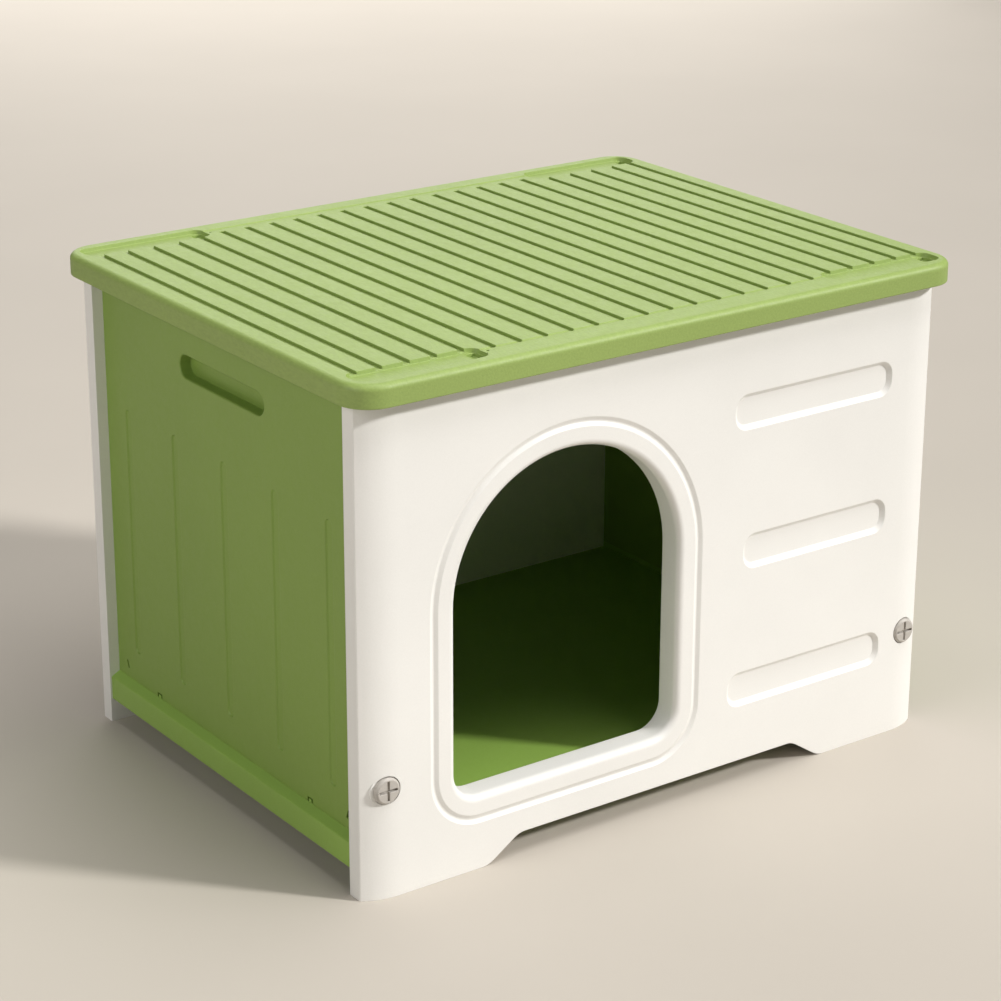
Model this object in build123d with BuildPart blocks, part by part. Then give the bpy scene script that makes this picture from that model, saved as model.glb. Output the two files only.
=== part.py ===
"""Plastic pet house with a lift-off roof, in millimetres, +Z up.

The origin is on the floor under the middle of the house. The doorway faces -Y.
"""
import os

from build123d import *

os.makedirs("parts", exist_ok=True)

# ---- overall sizes ----
house_width = 500.0  # across the front and back panels
edge_depth = 359.0  # between the outer edges of the front and back panels
wall_top = 361.0  # underside of the roof deck, which the walls reach
base_underside = 18.0

# ---- front and back panels ----
edge_thickness = 12.0  # at the upright ends of a panel
face_rise = 8.0  # how far the flat face stands out beyond the ends
face_turn = 27.0  # width of the curved strip at each end
turn_lean = (0.9, 0.62)  # direction in which the curved strip leaves the end of a panel
end_round = 1.5
skin = 2.8  # wall around the sealed hollow of a panel
hollow_side_margin = 4.4  # between the seats of the screws and the hollow
hollow_tab_margin = 4.3  # from the slots of the base tabs up to the hollow
hollow_top_margin = 6.0

# ---- arch between the feet ----
arch_gap = 0.7  # between the top of the arch and the underside of the base
foot_length = 100.0
foot_slope_run = 26.0
foot_round = 16.0

# ---- doorway ----
door_end_margin = 73.25  # from the left end of the front panel to the doorway
door_width = 189.5
door_step = 19.2  # from the floor of the base up to the sill
door_top_margin = 71.6  # from the top of the doorway up to the top of the walls
door_corner = 20.0
door_wall = 6.0  # solid band around the doorway
door_front_round = 5.0
door_back_round = 1.2
surround_margin = 17.3  # from the doorway to the middle of the groove around it
surround_groove_width = 6.6
surround_groove_depth = 1.6
surround_groove_taper = 60.0

# ---- shallow pads beside the doorway ----
pad_end_margin = 43.0  # from the right end of the front panel to the pads
pad_door_gaps = (47.25, 58.25, 47.25)  # from the doorway to each pad, the lowest first
pad_low = 73.8  # middle of the lowest pad
pad_top_margin = 76.0  # from the middle of the highest pad up to the top of the walls
pad_width = 26.8
pad_corner = 11.0
pad_depth = 3.0
pad_taper = 48.0

# ---- side panels ----
side_inset = 8.5  # outer face of a side panel behind the ends of the front panel
side_thickness = 19.0
tongue_thickness = 6.0
tongue_length = 5.5
tongue_rise = 24.0  # from the screws up to the tongues
tongue_top_margin = 17.0  # from the tongues up to the top of the walls
tongue_side_gap = 0.15
tongue_end_gap = 0.5
side_post = 27.0  # solid end of a side panel, which takes the screws
side_foot = 5.6  # solid strip under the hollow of a side panel
flute_count = 5
flute_end_margin = 32.1  # from the ends of a side panel to the middle of the outer flutes
flute_width = 9.0
flute_rise = 24.3  # from the ledge of the base up to the flutes
flute_drop = 55.7  # from the middle of the hand-hold down to the flutes
flute_depth = 1.0
flute_taper = 40.0
handhold_length = 113.0
handhold_height = 17.0
handhold_top_margin = 47.0  # from the middle of the hand-hold up to the top of the walls
handhold_depth = 9.0
handhold_round = 1.2
slit_end_margin = 14.5  # from the ends of a side panel to the slits
slit_rise = 10.3  # from the ledge of the base up to the middle of the slits
slit_size = (2.2, 6.5, 2.0)
slit_lean = 20.0
catch_end_margin = 62.5  # from the ends of a side panel to the catches
catch_notch = (7.0, 3.6, 3.0)
catch_nub = (3.0, 2.4, 2.0)

# ---- base tray ----
floor_thickness = 18.0  # from the underside of the base to its floor
ledge_rise = 4.7  # from the floor up to the ledge that carries a side panel
ledge_fall = 3.7  # slope of the ledge outside the side panel
ledge_inset = 1.5  # outer face of the ledge behind the ends of the front panel
ledge_round = 1.5
base_skin = 2.8
base_tab = (60.0, 5.5, 5.0)
base_tab_rise = 5.0
base_tab_count = 3
base_tab_end_margin = 42.5  # between a side panel and the nearest base tab
base_tab_gap = 0.2
side_tab = (30.0, 6.0, 5.0)
side_tab_gap = 0.2

# ---- screws ----
screw_rise = 39.3  # from the ledge of the base up to the screws
seat_behind_face = 3.0
seat_radius = 11.6
counterbore_radius = 10.2
head_radius = 9.5
head_thickness = 4.4
head_bevel = 1.3
slot_width = 2.0
slot_length = 14.5
slot_depth = 2.2
shank_radius = 4.0
shank_clearance = 0.05
shank_in_side = 22.0
bore_end_gap = 1.0
shank_tip_bevel = 1.0
cut_clear = 1.0  # how far a cut runs on past a surface that it opens

# ---- picking edges by place ----
near = 0.1

# ---- roof ----
roof_side_overhang = 8.9  # beyond the ends of the panels
roof_end_overhang = 12.3  # beyond the flat faces of the front and back panels
roof_corner = 24.0
roof_skirt_drop = 10.0  # from the top of the walls down to the foot of the skirt
roof_deck_thickness = 6.3
roof_edge_round = 4.5
roof_skirt_thickness = 4.0
roof_foot_round = 1.0
groove_count = 24
groove_end_margin = 17.84  # from each end of the roof to the middle of the nearest groove
end_groove_pitch = 19.3  # from the groove at each end of the roof to the next one
groove_width = 5.2
groove_depth = 2.0
groove_stop_margin = 24.8  # from the edge of the roof to where a long groove stops
recess_end_margin = 8.9  # from each end of the roof to the corner recesses
recess_edge_margin = 21.8  # from the edge of the roof to the middle of the recesses
recess_length = 102.0
recess_width = 22.0
recess_depth = 3.0
recess_corner = 8.0
recess_taper = 12.0
pocket_size = (9.0, 14.0, 2.3)  # deep end of each recess, towards +X
pocket_corner = 3.0
pocket_margin = 1.2  # between the pocket and the end of its recess
trough_width = 9.0  # between the recesses
trough_depth = 0.6
trough_taper = 50.0
pit_radius = 1.2
pit_depth = 1.5
pit_offset = 3.4  # from the end of a left recess
locator_length = 46.0
locator_thickness = 3.0
locator_drop = 8.0
locator_gap = 1.5

# ---- sizes that follow ----
half_width = house_width / 2
edge_y = edge_depth / 2
inner_y = edge_y - edge_thickness
face_y = edge_y + face_rise
panel_depth = face_y - inner_y
seat_y = face_y - seat_behind_face
side_outer = half_width - side_inset
side_inner = side_outer - side_thickness
side_middle = (side_outer + side_inner) / 2

floor_top = base_underside + floor_thickness
ledge_top = floor_top + ledge_rise
base_tab_reach = side_inner - base_tab_end_margin - base_tab[0] / 2
base_tab_pitch = 2 * base_tab_reach / (base_tab_count - 1)
base_tab_middle = base_underside + base_tab_rise + base_tab[1] / 2
screw_height = ledge_top + screw_rise
tongue_low = screw_height + tongue_rise
tongue_high = wall_top - tongue_top_margin
catch_offset = inner_y - catch_end_margin

arch_height = base_underside - arch_gap
arch_half_width = half_width - foot_length - foot_slope_run
door_left = door_end_margin - half_width
door_right = door_left + door_width
door_centre = (door_left + door_right) / 2
door_sill = floor_top + door_step
door_top = wall_top - door_top_margin
door_spring = door_top - door_width / 2
pad_right = half_width - pad_end_margin
pad_pitch = (wall_top - pad_top_margin - pad_low) / (len(pad_door_gaps) - 1)
hollow_half = side_middle - seat_radius - hollow_side_margin
hollow_low = base_tab_middle + base_tab[1] / 2 + base_tab_gap + hollow_tab_margin
hollow_rise = wall_top - hollow_top_margin - hollow_low

handhold_centre = wall_top - handhold_top_margin
flute_low = ledge_top + flute_rise
flute_high = handhold_centre - flute_drop
flute_pitch = 2 * (inner_y - flute_end_margin) / (flute_count - 1)

roof_length = 2 * (half_width + roof_side_overhang)
roof_depth = 2 * (face_y + roof_end_overhang)
roof_top = wall_top + roof_deck_thickness
roof_skirt_low = wall_top - roof_skirt_drop
last_groove = roof_length / 2 - groove_end_margin
inner_groove_span = 2 * (last_groove - end_groove_pitch)
inner_groove_count = groove_count - 2
groove_pitch = inner_groove_span / (inner_groove_count - 1)
groove_stop = roof_depth / 2 - groove_stop_margin
recess_end = roof_length / 2 - recess_end_margin
recess_start = recess_end - recess_length
recess_middle = roof_depth / 2 - recess_edge_margin


def face_plane(outward, distance):
    """Upright plane that faces along Y, outward being -1 for the front and +1 for the back."""
    return Plane(origin=(0, outward * distance, 0), x_dir=(-outward, 0, 0), z_dir=(0, outward, 0))


def side_plane(outward, distance):
    """Upright plane that faces along X, outward being -1 for the left and +1 for the right."""
    return Plane(origin=(outward * distance, 0, 0), x_dir=(0, outward, 0), z_dir=(outward, 0, 0))


def door_outline(margin, mode=Mode.ADD):
    """Arched outline with rounded lower corners, grown by a margin, in the open sketch."""
    half = door_width / 2 + margin
    corner = door_corner + margin
    low = door_sill - margin
    left = door_left - margin
    right = door_right + margin
    with BuildLine() as border:
        Line((left + corner, low), (right - corner, low))
        CenterArc((right - corner, low + corner), corner, -90, 90)
        Line((right, low + corner), (right, door_spring))
        CenterArc((door_centre, door_spring), half, 0, 180)
        Line((left, door_spring), (left, low + corner))
        CenterArc((left + corner, low + corner), corner, 180, 90)
    make_face(border.edges(), mode=mode)


def wall_blank(outward):
    """Adds a panel with curved ends, feet, side slots, base slots and screw seats."""
    with BuildSketch(Plane.XY) as outline:
        with BuildLine():
            right_end = Line((half_width, outward * inner_y), (half_width, outward * edge_y))
            turn_x = half_width - face_turn
            right_lean = (-turn_lean[0], outward * turn_lean[1])
            Spline(right_end @ 1, (turn_x, outward * face_y), tangents=(right_lean, (-1, 0)))
            Line((turn_x, outward * face_y), (-turn_x, outward * face_y))
            left_end = Line((-half_width, outward * inner_y), (-half_width, outward * edge_y))
            left_lean = (turn_lean[0], outward * turn_lean[1])
            Spline(left_end @ 1, (-turn_x, outward * face_y), tangents=(left_lean, (1, 0)))
            Line(left_end @ 0, right_end @ 0)
        make_face()
    extrude(outline.sketch, amount=wall_top)
    # foot arch
    with BuildSketch(face_plane(outward, 0)) as outline:
        with BuildLine():
            Polyline(
                (-arch_half_width - foot_slope_run, 0),
                (-arch_half_width, arch_height),
                (arch_half_width, arch_height),
                (arch_half_width + foot_slope_run, 0),
                close=True,
            )
        make_face()
    extrude(outline.sketch, amount=face_y, mode=Mode.SUBTRACT)
    # slots for the tongues of the side panels
    slot_middle = (tongue_low + tongue_high) / 2
    slot_height = tongue_high - tongue_low + 2 * tongue_end_gap
    with BuildSketch(face_plane(outward, inner_y)) as outline:
        with Locations((-side_middle, slot_middle), (side_middle, slot_middle)):
            Rectangle(tongue_thickness + 2 * tongue_side_gap, slot_height)
    extrude(outline.sketch, amount=tongue_length + tongue_end_gap, mode=Mode.SUBTRACT)
    # slots for the tabs of the base
    with BuildSketch(face_plane(outward, inner_y)) as outline:
        with Locations((0, base_tab_middle)):
            with GridLocations(base_tab_pitch, 1, base_tab_count, 1):
                Rectangle(base_tab[0] + 2 * base_tab_gap, base_tab[1] + 2 * base_tab_gap)
    extrude(outline.sketch, amount=base_tab[2] + base_tab_gap, mode=Mode.SUBTRACT)
    # flat seats and counterbores for the screw heads
    with BuildSketch(face_plane(outward, edge_y - end_round)) as outline:
        with Locations((-side_middle, screw_height), (side_middle, screw_height)):
            Circle(seat_radius)
    extrude(outline.sketch, amount=seat_y - edge_y + end_round)
    with BuildSketch(face_plane(outward, seat_y)) as outline:
        with Locations((-side_middle, screw_height), (side_middle, screw_height)):
            Circle(counterbore_radius)
    extrude(outline.sketch, amount=seat_behind_face + cut_clear, mode=Mode.SUBTRACT)
    with BuildSketch(face_plane(outward, inner_y)) as outline:
        with Locations((-side_middle, screw_height), (side_middle, screw_height)):
            Circle(shank_radius + shank_clearance)
    extrude(outline.sketch, amount=seat_y - inner_y, mode=Mode.SUBTRACT)


def round_edges(panel, outward):
    """Rounds the four bends between the feet and the arch, and the upright outer corners."""
    bend_reach = arch_half_width + foot_slope_run + near
    bends = panel.edges().filter_by(Axis.Y).filter_by_position(Axis.Z, -near, arch_height + near)
    fillet(bends.filter_by_position(Axis.X, -bend_reach, bend_reach), foot_round)
    corner_y = outward * edge_y
    corners = panel.edges().filter_by(Axis.Z).filter_by_position(Axis.Y, corner_y - near, corner_y + near)
    fillet(corners, end_round)


def hollow_outline():
    """Adds the outline of a panel's sealed hollow to the open sketch."""
    with Locations((0, hollow_low + hollow_rise / 2)):
        Rectangle(2 * hollow_half, hollow_rise)


def pad_outlines(margin, mode=Mode.ADD):
    """Rounded outlines of the pads, grown by a margin, in the open sketch."""
    for index, gap in enumerate(pad_door_gaps):
        left = door_right + gap
        with Locations(((left + pad_right) / 2, pad_low + index * pad_pitch)):
            RectangleRounded(
                pad_right - left + 2 * margin, pad_width + 2 * margin, pad_corner + margin, mode=mode
            )


# ---- front panel ----
surround_inner = surround_margin - surround_groove_width / 2
surround_outer = surround_margin + surround_groove_width / 2
pressed_depth = max(pad_depth, surround_groove_depth)
with BuildPart() as front_panel:
    wall_blank(-1)
    round_edges(front_panel, -1)
    # sealed hollow; its front layer goes round what is pressed into the face
    with BuildSketch(face_plane(-1, inner_y + skin)):
        hollow_outline()
        door_outline(door_wall, mode=Mode.SUBTRACT)
    extrude(amount=panel_depth - 2 * skin - pressed_depth, mode=Mode.SUBTRACT)
    with BuildSketch(face_plane(-1, face_y - skin)):
        hollow_outline()
        door_outline(surround_outer + skin, mode=Mode.SUBTRACT)
        pad_outlines(skin, mode=Mode.SUBTRACT)
    extrude(amount=-pressed_depth, mode=Mode.SUBTRACT)
    # doorway, rounded at its front and back edges
    with BuildSketch(face_plane(-1, inner_y)):
        door_outline(0)
    extrude(amount=face_y, mode=Mode.SUBTRACT)
    jamb_edges = front_panel.edges().filter_by_position(Axis.X, door_left - near, door_right + near)
    jamb_edges = jamb_edges.filter_by_position(Axis.Z, door_sill - near, door_top + near)
    fillet(jamb_edges.filter_by_position(Axis.Y, -face_y - near, -face_y + near), door_front_round)
    fillet(jamb_edges.filter_by_position(Axis.Y, -inner_y - near, -inner_y + near), door_back_round)
    with BuildSketch(face_plane(-1, face_y)):
        door_outline(surround_outer)
        door_outline(surround_inner, mode=Mode.SUBTRACT)
    extrude(amount=-surround_groove_depth, taper=surround_groove_taper, mode=Mode.SUBTRACT)
    with BuildSketch(face_plane(-1, face_y)):
        pad_outlines(0)
    extrude(amount=-pad_depth, taper=pad_taper, mode=Mode.SUBTRACT)
front_panel.part.label = "front_panel"
export_step(front_panel.part, "parts/front_panel.step")

# ---- back panel ----
with BuildPart() as back_panel:
    wall_blank(1)
    round_edges(back_panel, 1)
    with BuildSketch(face_plane(1, inner_y + skin)):
        hollow_outline()
    extrude(amount=panel_depth - 2 * skin, mode=Mode.SUBTRACT)
back_panel.part.label = "back_panel"
export_step(back_panel.part, "parts/back_panel.step")


def side_panel_solid(panel, outward):
    """Adds a side panel with tongues, hollow, screw bores, hand-hold, flutes and catch notches."""
    with BuildSketch(Plane.XY.offset(ledge_top)) as outline:
        with Locations((outward * side_middle, 0)):
            Rectangle(side_thickness, 2 * inner_y)
    extrude(outline.sketch, amount=wall_top - ledge_top)
    with BuildSketch(Plane.XY.offset(tongue_low)) as outline:
        with Locations((outward * side_middle, 0)):
            Rectangle(tongue_thickness, 2 * (inner_y + tongue_length))
    extrude(outline.sketch, amount=tongue_high - tongue_low)
    # tabs that drop into the ledge of the base
    with BuildSketch(Plane.XY.offset(ledge_top)) as outline:
        with Locations((outward * side_middle, -catch_offset), (outward * side_middle, catch_offset)):
            Rectangle(side_tab[1], side_tab[0])
    extrude(outline.sketch, amount=-side_tab[2])
    # sealed hollow
    side_hollow_low = ledge_top + side_foot
    hollow_height = handhold_centre - handhold_height / 2 - skin - side_hollow_low
    with BuildSketch(side_plane(outward, side_inner + skin)) as outline:
        with Locations((0, side_hollow_low + hollow_height / 2)):
            Rectangle(2 * (inner_y - side_post), hollow_height)
    extrude(outline.sketch, amount=side_thickness - 2 * skin, mode=Mode.SUBTRACT)
    # bores for the screws
    for end in (-1, 1):
        with BuildSketch(face_plane(end, inner_y)) as outline:
            with Locations((-end * outward * side_middle, screw_height)):
                Circle(shank_radius + shank_clearance)
        extrude(outline.sketch, amount=-shank_in_side - bore_end_gap, mode=Mode.SUBTRACT)
    # flutes
    with BuildSketch(side_plane(outward, side_outer)) as outline:
        with Locations((0, (flute_low + flute_high) / 2)):
            with GridLocations(flute_pitch, 1, flute_count, 1):
                SlotOverall(flute_high - flute_low, flute_width, rotation=90)
    extrude(outline.sketch, amount=-flute_depth, taper=flute_taper, mode=Mode.SUBTRACT)
    # hand-hold
    with BuildSketch(side_plane(outward, side_outer)) as outline:
        with Locations((0, handhold_centre)):
            SlotOverall(handhold_length, handhold_height)
    extrude(outline.sketch, amount=-handhold_depth, mode=Mode.SUBTRACT)
    outer_x = outward * side_outer
    mouth = panel.edges().filter_by_position(Axis.X, outer_x - near, outer_x + near)
    mouth = mouth.filter_by_position(
        Axis.Z, handhold_centre - handhold_height / 2 - near, handhold_centre + handhold_height / 2 + near
    )
    mouth = mouth.filter_by_position(Axis.Y, -handhold_length / 2 - near, handhold_length / 2 + near)
    fillet(mouth, handhold_round)
    # moulding slits and the notches over the catches of the base
    with BuildSketch(side_plane(outward, side_outer)) as outline:
        for end in (-1, 1):
            place = (end * (inner_y - slit_end_margin), ledge_top + slit_rise)
            with Locations(Location(place, -end * slit_lean)):
                Rectangle(slit_size[0], slit_size[1])
    extrude(outline.sketch, amount=-slit_size[2], mode=Mode.SUBTRACT)
    with BuildSketch(side_plane(outward, side_outer)) as outline:
        with Locations((0, ledge_top + catch_notch[1] / 2)):
            with GridLocations(2 * catch_offset, 1, 2, 1):
                Rectangle(catch_notch[0], catch_notch[1])
    extrude(outline.sketch, amount=-catch_notch[2], mode=Mode.SUBTRACT)


# ---- side panels ----
with BuildPart() as left_side_panel:
    side_panel_solid(left_side_panel, -1)
left_side_panel.part.label = "left_side_panel"
export_step(left_side_panel.part, "parts/left_side_panel.step")

with BuildPart() as right_side_panel:
    side_panel_solid(right_side_panel, 1)
right_side_panel.part.label = "right_side_panel"
export_step(right_side_panel.part, "parts/right_side_panel.step")

# ---- base tray ----
ledge_outer = half_width - ledge_inset
with BuildPart() as base_tray:
    with BuildSketch(Plane.XZ.offset(-inner_y)):
        with BuildLine():
            Polyline(
                (-ledge_outer, base_underside),
                (ledge_outer, base_underside),
                (ledge_outer, ledge_top - ledge_fall),
                (side_outer, ledge_top),
                (side_inner, ledge_top),
                (side_inner, floor_top),
                (-side_inner, floor_top),
                (-side_inner, ledge_top),
                (-side_outer, ledge_top),
                (-ledge_outer, ledge_top - ledge_fall),
                close=True,
            )
        make_face()
    extrude(amount=2 * inner_y)
    long_edges = base_tray.edges().filter_by(Axis.Y)
    fillet(long_edges.group_by(Axis.X)[0] + long_edges.group_by(Axis.X)[-1], ledge_round)
    # tabs that enter the front and back panels
    for outward in (-1, 1):
        with BuildSketch(face_plane(outward, inner_y)):
            with Locations((0, base_tab_middle)):
                with GridLocations(base_tab_pitch, 1, base_tab_count, 1):
                    Rectangle(base_tab[0], base_tab[1])
        extrude(amount=base_tab[2])
    # pockets for the tabs of the side panels, and small catches
    with BuildSketch(Plane.XY.offset(ledge_top)):
        with GridLocations(2 * side_middle, 2 * catch_offset, 2, 2):
            Rectangle(side_tab[1] + 2 * side_tab_gap, side_tab[0] + 2 * side_tab_gap)
    extrude(amount=-side_tab[2] - side_tab_gap, mode=Mode.SUBTRACT)
    catch_middle = side_outer - catch_nub[2] / 2
    with BuildSketch(Plane.XY.offset(ledge_top)):
        with GridLocations(2 * catch_middle, 2 * catch_offset, 2, 2):
            Rectangle(catch_nub[2], catch_nub[0])
    extrude(amount=catch_nub[1])
    # sealed hollow
    with BuildSketch(Plane.XY.offset(base_underside + base_skin)):
        Rectangle(2 * (side_inner - base_skin), 2 * (inner_y - base_tab[2] - base_skin))
    extrude(amount=floor_top - base_underside - 2 * base_skin, mode=Mode.SUBTRACT)
base_tray.part.label = "base_tray"
export_step(base_tray.part, "parts/base_tray.step")

# ---- roof ----
with BuildPart() as roof:
    with BuildSketch(Plane.XY.offset(roof_skirt_low)):
        RectangleRounded(roof_length, roof_depth, roof_corner)
    extrude(amount=roof_top - roof_skirt_low)
    fillet(roof.faces().sort_by(Axis.Z)[-1].edges(), roof_edge_round)
    with BuildSketch(Plane.XY.offset(roof_skirt_low)):
        RectangleRounded(
            roof_length - 2 * roof_skirt_thickness,
            roof_depth - 2 * roof_skirt_thickness,
            roof_corner - roof_skirt_thickness,
        )
    extrude(amount=wall_top - roof_skirt_low, mode=Mode.SUBTRACT)
    fillet(roof.faces().sort_by(Axis.Z)[0].edges(), roof_foot_round)
    # grooves; the short ones open into the corner recesses
    recess_inner = recess_middle - recess_width / 2
    groove_places = [index * groove_pitch - inner_groove_span / 2 for index in range(inner_groove_count)]
    groove_places += [-last_groove, last_groove]
    with BuildSketch(Plane.XY.offset(roof_top)):
        for place in groove_places:
            reach = recess_inner + groove_width if abs(place) > recess_start else groove_stop
            with Locations((place, 0)):
                SlotOverall(2 * reach, groove_width, rotation=90)
    extrude(amount=-groove_depth, mode=Mode.SUBTRACT)
    # shallow troughs along the front and back, between the recesses
    with BuildSketch(Plane.XY.offset(roof_top)):
        with GridLocations(1, 2 * recess_middle, 1, 2):
            Rectangle(2 * (recess_start + recess_corner), trough_width)
    extrude(amount=-trough_depth, taper=trough_taper, mode=Mode.SUBTRACT)
    # recesses at the corners, with a deep pocket at the +X end of each
    with BuildSketch(Plane.XY.offset(roof_top)):
        with GridLocations(recess_start + recess_end, 2 * recess_middle, 2, 2):
            RectangleRounded(recess_length, recess_width, recess_corner)
    extrude(amount=-recess_depth, taper=recess_taper, mode=Mode.SUBTRACT)
    pocket_reach = pocket_margin + pocket_size[0] / 2
    with BuildSketch(Plane.XY.offset(roof_top - recess_depth)):
        for end_x in (-recess_start, recess_end):
            with Locations((end_x - pocket_reach, -recess_middle), (end_x - pocket_reach, recess_middle)):
                RectangleRounded(pocket_size[0], pocket_size[1], pocket_corner)
    extrude(amount=-pocket_size[2], mode=Mode.SUBTRACT)
    # small pits beyond the left recesses
    with BuildSketch(Plane.XY.offset(roof_top)):
        with Locations((pit_offset - recess_start, 0)):
            with GridLocations(1, 2 * recess_middle, 1, 2):
                Circle(pit_radius)
    extrude(amount=-pit_depth, mode=Mode.SUBTRACT)
    # corner locators inside the walls
    locator_x = side_inner - locator_gap
    locator_y = inner_y - locator_gap
    with BuildSketch(Plane.XY.offset(wall_top)):
        with GridLocations(2 * locator_x - locator_length, 2 * locator_y - locator_thickness, 2, 2):
            Rectangle(locator_length, locator_thickness)
        with GridLocations(2 * locator_x - locator_thickness, 2 * locator_y - locator_length, 2, 2):
            Rectangle(locator_thickness, locator_length)
    extrude(amount=-locator_drop)
roof.part.label = "roof"
export_step(roof.part, "parts/roof.step")


def screw_solid(outward, side):
    """Adds one screw: bevelled head with a cross slot, and a plain shank."""
    centre = (-outward * side * side_middle, screw_height)
    with BuildSketch(face_plane(outward, seat_y)) as outline:
        with Locations(centre):
            Circle(head_radius)
    head = extrude(outline.sketch, amount=head_thickness)
    chamfer(head.faces().sort_by(Axis.Y)[0 if outward < 0 else -1].edges(), head_bevel)
    with BuildSketch(face_plane(outward, seat_y)) as outline:
        with Locations(centre):
            Circle(shank_radius)
    shank = extrude(outline.sketch, amount=-(seat_y - inner_y) - shank_in_side)
    chamfer(shank.faces().sort_by(Axis.Y)[-1 if outward < 0 else 0].edges(), shank_tip_bevel)
    with BuildSketch(face_plane(outward, seat_y + head_thickness)) as outline:
        with Locations(centre):
            Rectangle(slot_length, slot_width)
            Rectangle(slot_width, slot_length)
    extrude(outline.sketch, amount=-slot_depth, mode=Mode.SUBTRACT)


# ---- screws ----
for outward, end_name in ((-1, "front"), (1, "back")):
    for side, side_name in ((-1, "left"), (1, "right")):
        name = f"screw_{end_name}_{side_name}"
        with BuildPart() as screw:
            screw_solid(outward, side)
        screw.part.label = name
        export_step(screw.part, f"parts/{name}.step")
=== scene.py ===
"""Looks of the plastic pet house, in metres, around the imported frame."""
import math

import bpy
from mathutils import Matrix, Vector


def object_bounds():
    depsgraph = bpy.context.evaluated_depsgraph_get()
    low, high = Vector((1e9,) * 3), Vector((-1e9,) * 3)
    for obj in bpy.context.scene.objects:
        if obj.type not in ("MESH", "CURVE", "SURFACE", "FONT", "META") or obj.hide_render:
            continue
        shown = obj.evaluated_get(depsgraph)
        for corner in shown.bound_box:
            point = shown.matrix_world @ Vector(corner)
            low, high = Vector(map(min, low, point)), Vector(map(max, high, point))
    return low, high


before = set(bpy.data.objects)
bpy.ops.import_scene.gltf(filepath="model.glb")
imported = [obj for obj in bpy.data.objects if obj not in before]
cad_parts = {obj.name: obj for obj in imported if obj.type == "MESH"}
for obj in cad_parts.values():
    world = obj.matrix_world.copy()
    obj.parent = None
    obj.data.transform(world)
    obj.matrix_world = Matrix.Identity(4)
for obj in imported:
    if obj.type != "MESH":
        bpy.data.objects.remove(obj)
cad_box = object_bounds()

# ---- camera, seen from the left of the doorway side ----
CAMERA_AZIMUTH = math.radians(-35.695)
CAMERA_PITCH = math.radians(19.601)
CAMERA_ROLL = math.radians(-0.158)
CAMERA_DISTANCE = 2.0834
CAMERA_TARGET = Vector((-0.0062, 0.0, 0.2180))
CAMERA_LENS = 101.37
CAMERA_SENSOR = 36.0
CAMERA_SHIFT_Y = -0.05

# ---- light; each direction points from the house to the light ----
KEY_DIRECTION = Vector((0.92, -1.0, 0.85))
KEY_DISTANCE = 3.0
KEY_ANGLE = math.radians(6.0)
KEY_STRENGTH = 2.8
KEY_COLOUR = (1.0, 0.985, 0.96)
# name, direction, distance, size, power and colour of the soft boxes
SOFT_BOXES = (
    ("top_box", Vector((0.10, -0.25, 1.0)), 2.6, 1.8, 45.0, (1.0, 0.99, 0.97)),
    ("left_box", Vector((-1.0, -0.15, 0.45)), 2.5, 1.3, 17.0, (1.0, 0.98, 0.95)),
    ("back_box", Vector((0.55, 1.0, 0.38)), 3.0, 2.4, 30.0, (1.0, 0.985, 0.965)),
)
WORLD_COLOUR = (1.0, 0.985, 0.965)
WORLD_STRENGTH = 0.08

# ---- stage ----
FLOOR_HALF = 20.0
FLOOR_COLOUR = (0.54, 0.495, 0.435)
FLOOR_MOTTLE_SCALE = 3.0
FLOOR_MOTTLE = 0.015
FLOOR_ROUGHNESS = 0.85

# ---- plastics ----
ROOF_GREEN = (0.285, 0.386, 0.103)
SIDE_GREEN = (0.238, 0.358, 0.070)
# lighter than the sides, to match the floor seen through the doorway
BASE_GREEN = (0.290, 0.458, 0.089)
WHITE = (0.868, 0.858, 0.828)
GREY = (0.500, 0.470, 0.430)
PLASTIC_IOR = 1.49
BUMP_STRENGTH = 0.55

# ---- pattern in the plastics; scales are in cells a metre ----
EVEN = (1.0, 1.0, 1.0)
ALONG_GROOVES = (1.0, 0.35, 1.0)
NOISE_LOW = 0.3
NOISE_HIGH = 0.7
CLOUD_SCALE = 5.5
CLOUD_CHANGE = 0.035
SCUFF_SCALE = 140.0
SCUFF_LEAST = 0.2
SCUFF_SMOOTHER = 0.05
SCUFF_ROUGHER = 0.06
EDGE_RADIUS = 0.0007
EDGE_SAMPLES = 6
EDGE_GAIN = 5.0
EDGE_POLISH = 0.08


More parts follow.
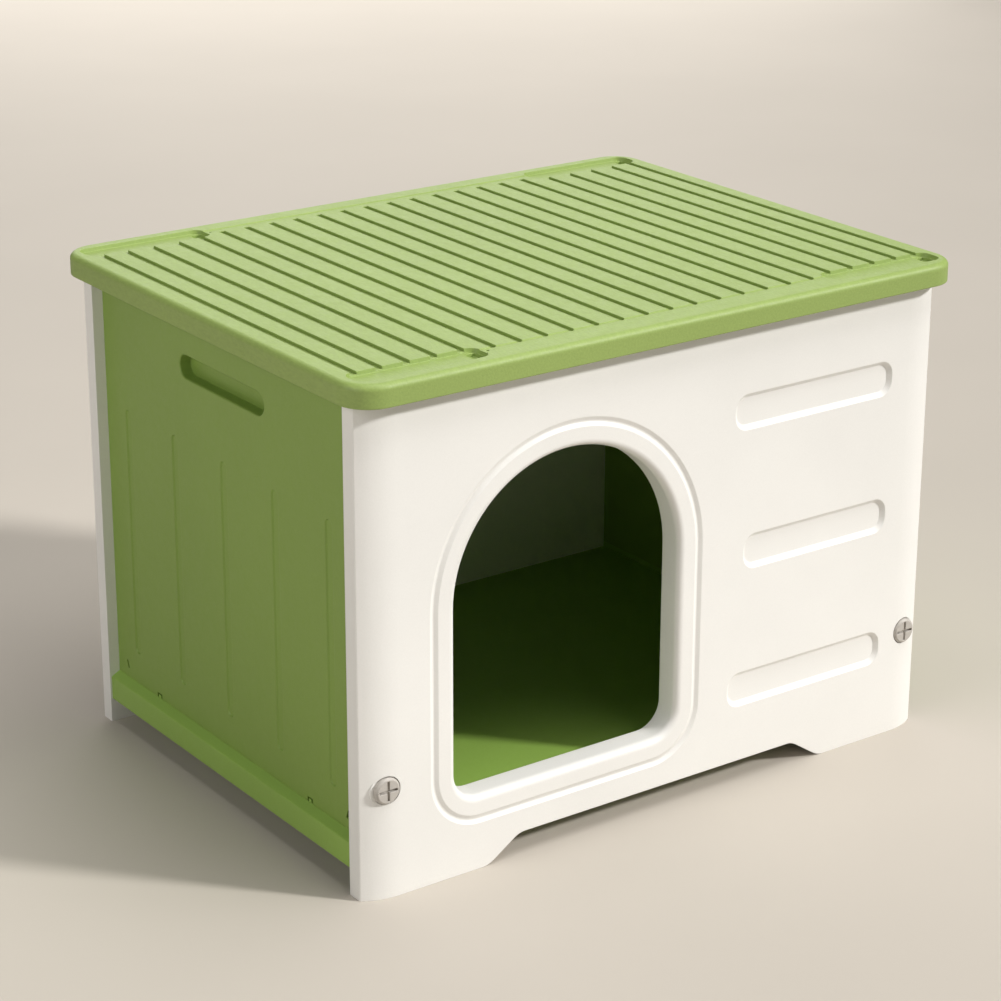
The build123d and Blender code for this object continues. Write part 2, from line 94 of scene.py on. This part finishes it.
class Graph:
    """Short names for adding and joining shader nodes."""

    def __init__(self, material):
        material.use_nodes = True
        self.nodes = material.node_tree.nodes
        self.links = material.node_tree.links
        self.shader = self.nodes["Principled BSDF"]

    def add(self, kind, **settings):
        node = self.nodes.new(kind)
        for key, value in settings.items():
            if hasattr(node, key):
                setattr(node, key, value)
            else:
                node.inputs[key].default_value = value
        return node

    def join(self, source, target):
        self.links.new(source, target)

    def math(self, operation, first, second):
        node = self.add("ShaderNodeMath", operation=operation)
        for index, value in enumerate((first, second)):
            if isinstance(value, (int, float)):
                node.inputs[index].default_value = value
            else:
                self.join(value, node.inputs[index])
        return node.outputs[0]

    def noise(self, vector, scale, detail=3.0, rough=0.5):
        node = self.add("ShaderNodeTexNoise", Scale=scale, Detail=detail, Roughness=rough)
        self.join(vector, node.inputs["Vector"])
        return node.outputs["Fac"]

    def stretched(self, stretch=EVEN):
        """Object coordinates, scaled unevenly for grain that runs one way."""
        place = self.add("ShaderNodeTexCoord")
        mapping = self.add("ShaderNodeMapping")
        mapping.inputs["Scale"].default_value = stretch
        self.join(place.outputs["Object"], mapping.inputs["Vector"])
        return mapping.outputs["Vector"]

    def spread(self, value, low, high):
        """Maps a noise value from its usual range to low..high."""
        node = self.add("ShaderNodeMapRange")
        ranges = {"From Min": NOISE_LOW, "From Max": NOISE_HIGH, "To Min": low, "To Max": high}
        for key, number in ranges.items():
            node.inputs[key].default_value = number
        self.join(value, node.inputs["Value"])
        return node.outputs["Result"]

    def vary(self, value, change):
        """Maps a noise value to a factor that is as far below 1 as above it."""
        return self.spread(value, 1.0 - change, 1.0 + change)

    def tint(self, colour, amount):
        """Multiplies a fixed colour by a grey value socket."""
        node = self.add("ShaderNodeMix", data_type="RGBA", blend_type="MULTIPLY")
        node.inputs["Factor"].default_value = 1.0
        node.inputs["A"].default_value = (*colour, 1.0)
        self.join(amount, node.inputs["B"])
        return node.outputs["Result"]

    def edges(self, radius):
        """A rounded normal, and a mask that is 1 on edges and 0 on flat faces."""
        bevel = self.add("ShaderNodeBevel", samples=EDGE_SAMPLES)
        bevel.inputs["Radius"].default_value = radius
        plain = self.add("ShaderNodeNewGeometry")
        dot = self.add("ShaderNodeVectorMath", operation="DOT_PRODUCT")
        self.join(bevel.outputs["Normal"], dot.inputs[0])
        self.join(plain.outputs["Normal"], dot.inputs[1])
        turned = self.math("SUBTRACT", 1.0, dot.outputs["Value"])
        mask = self.math("MINIMUM", self.math("MULTIPLY", turned, EDGE_GAIN), 1.0)
        return bevel.outputs["Normal"], mask


def moulded_plastic(name, colour, grain, depth, mottle, roughness, wear, stretch=EVEN):
    """Moulded plastic with a fine grain, mottled colour and scuffed edges.

    grain is in cells a metre, depth is the bump's height in metres, mottle and wear are
    changes of colour, and stretch sets the way the grain runs.
    """
    material = bpy.data.materials.new(name)
    g = Graph(material)
    even = g.stretched()
    run = g.stretched(stretch)
    clouds = g.noise(even, CLOUD_SCALE, detail=4.0)
    speckle = g.noise(run, grain, detail=4.0, rough=0.62)
    scuffs = g.noise(even, SCUFF_SCALE, detail=5.0, rough=0.7)
    normal, edge = g.edges(EDGE_RADIUS)
    shade = g.math("MULTIPLY", g.vary(clouds, CLOUD_CHANGE), g.vary(speckle, mottle))
    worn = g.math("MULTIPLY", edge, g.spread(scuffs, SCUFF_LEAST, 1.0))
    shade = g.math("ADD", shade, g.math("MULTIPLY", worn, wear))
    g.join(g.tint(colour, shade), g.shader.inputs["Base Color"])
    scuffed = g.spread(scuffs, roughness - SCUFF_SMOOTHER, roughness + SCUFF_ROUGHER)
    polish = g.math("MULTIPLY", worn, -EDGE_POLISH)
    g.join(g.math("ADD", scuffed, polish), g.shader.inputs["Roughness"])
    bump = g.add("ShaderNodeBump")
    bump.inputs["Strength"].default_value = BUMP_STRENGTH
    bump.inputs["Distance"].default_value = depth
    g.join(speckle, bump.inputs["Height"])
    g.join(normal, bump.inputs["Normal"])
    g.join(bump.outputs["Normal"], g.shader.inputs["Normal"])
    g.shader.inputs["IOR"].default_value = PLASTIC_IOR
    return material


def dress(node, material):
    """Gives a CAD node one material on all its slots."""
    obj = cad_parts[node]
    if not obj.material_slots:
        obj.data.materials.append(material)
    for entry in obj.material_slots:
        entry.material = material


roof_green = moulded_plastic(
    "roof_green", ROOF_GREEN, grain=600.0, depth=0.00030, mottle=0.075, roughness=0.50, wear=0.16,
    stretch=ALONG_GROOVES)
side_green = moulded_plastic(
    "side_green", SIDE_GREEN, grain=900.0, depth=0.00010, mottle=0.030, roughness=0.46, wear=0.14)
base_green = moulded_plastic(
    "base_green", BASE_GREEN, grain=900.0, depth=0.00010, mottle=0.030, roughness=0.46, wear=0.14)
panel_white = moulded_plastic(
    "panel_white", WHITE, grain=900.0, depth=0.00006, mottle=0.015, roughness=0.42, wear=0.05)
screw_grey = moulded_plastic(
    "screw_grey", GREY, grain=1200.0, depth=0.00006, mottle=0.040, roughness=0.40, wear=0.18)

dress("roof", roof_green)
dress("base_tray", base_green)
for node in ("left_side_panel", "right_side_panel"):
    dress(node, side_green)
for node in ("front_panel", "back_panel"):
    dress(node, panel_white)
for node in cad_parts:
    if node.startswith("screw_"):
        dress(node, screw_grey)


def make_floor():
    """Plain pale floor, level with the underside of the feet."""
    level = cad_box[0].z
    signs = ((-1, -1), (1, -1), (1, 1), (-1, 1))
    corners = [(x * FLOOR_HALF, y * FLOOR_HALF, level) for x, y in signs]
    mesh = bpy.data.meshes.new("floor")
    mesh.from_pydata(corners, [], [(0, 1, 2, 3)])
    floor = bpy.data.objects.new("floor", mesh)
    bpy.context.scene.collection.objects.link(floor)
    material = bpy.data.materials.new("floor_matt")
    g = Graph(material)
    mottle = g.noise(g.stretched(), FLOOR_MOTTLE_SCALE)
    g.join(g.tint(FLOOR_COLOUR, g.vary(mottle, FLOOR_MOTTLE)), g.shader.inputs["Base Color"])
    g.shader.inputs["Roughness"].default_value = FLOOR_ROUGHNESS
    mesh.materials.append(material)


def place_light(name, kind, direction, distance, colour):
    """Adds a light that looks at the middle of the house, and hides it from the camera."""
    light = bpy.data.lights.new(name, kind)
    light.color = colour
    lamp = bpy.data.objects.new(name, light)
    centre = (cad_box[0] + cad_box[1]) / 2
    lamp.location = centre + direction.normalized() * distance
    lamp.rotation_mode = "QUATERNION"
    lamp.rotation_quaternion = direction.to_track_quat("Z", "Y")
    lamp.visible_camera = False
    bpy.context.scene.collection.objects.link(lamp)
    return light


def make_light():
    """Key from the right of the doorway side, three soft boxes and a pale sky."""
    key = place_light("key", "SUN", KEY_DIRECTION, KEY_DISTANCE, KEY_COLOUR)
    key.angle = KEY_ANGLE
    key.energy = KEY_STRENGTH
    for name, direction, distance, size, power, colour in SOFT_BOXES:
        box = place_light(name, "AREA", direction, distance, colour)
        box.size = size
        box.energy = power
    world = bpy.data.worlds.new("pale_sky")
    world.use_nodes = True
    background = world.node_tree.nodes["Background"]
    background.inputs["Color"].default_value = (*WORLD_COLOUR, 1.0)
    background.inputs["Strength"].default_value = WORLD_STRENGTH
    bpy.context.scene.world = world


def make_camera():
    """Long lens with a small shift, and no depth of field."""
    data = bpy.data.cameras.new("camera")
    data.sensor_width = CAMERA_SENSOR
    data.lens = CAMERA_LENS
    data.shift_y = CAMERA_SHIFT_Y
    camera = bpy.data.objects.new("camera", data)
    flat = math.cos(CAMERA_PITCH)
    across = math.sin(CAMERA_AZIMUTH) * flat
    out = math.cos(CAMERA_AZIMUTH) * flat
    back = Vector((across, -out, math.sin(CAMERA_PITCH)))
    camera.location = CAMERA_TARGET + back * CAMERA_DISTANCE
    turn = (-back).to_track_quat("-Z", "Y").to_matrix()
    camera.rotation_mode = "QUATERNION"
    camera.rotation_quaternion = (turn @ Matrix.Rotation(-CAMERA_ROLL, 3, "Z")).to_quaternion()
    bpy.context.scene.collection.objects.link(camera)
    bpy.context.scene.camera = camera


make_floor()
make_light()
make_camera()
bpy.context.scene.view_settings.view_transform = "Standard"
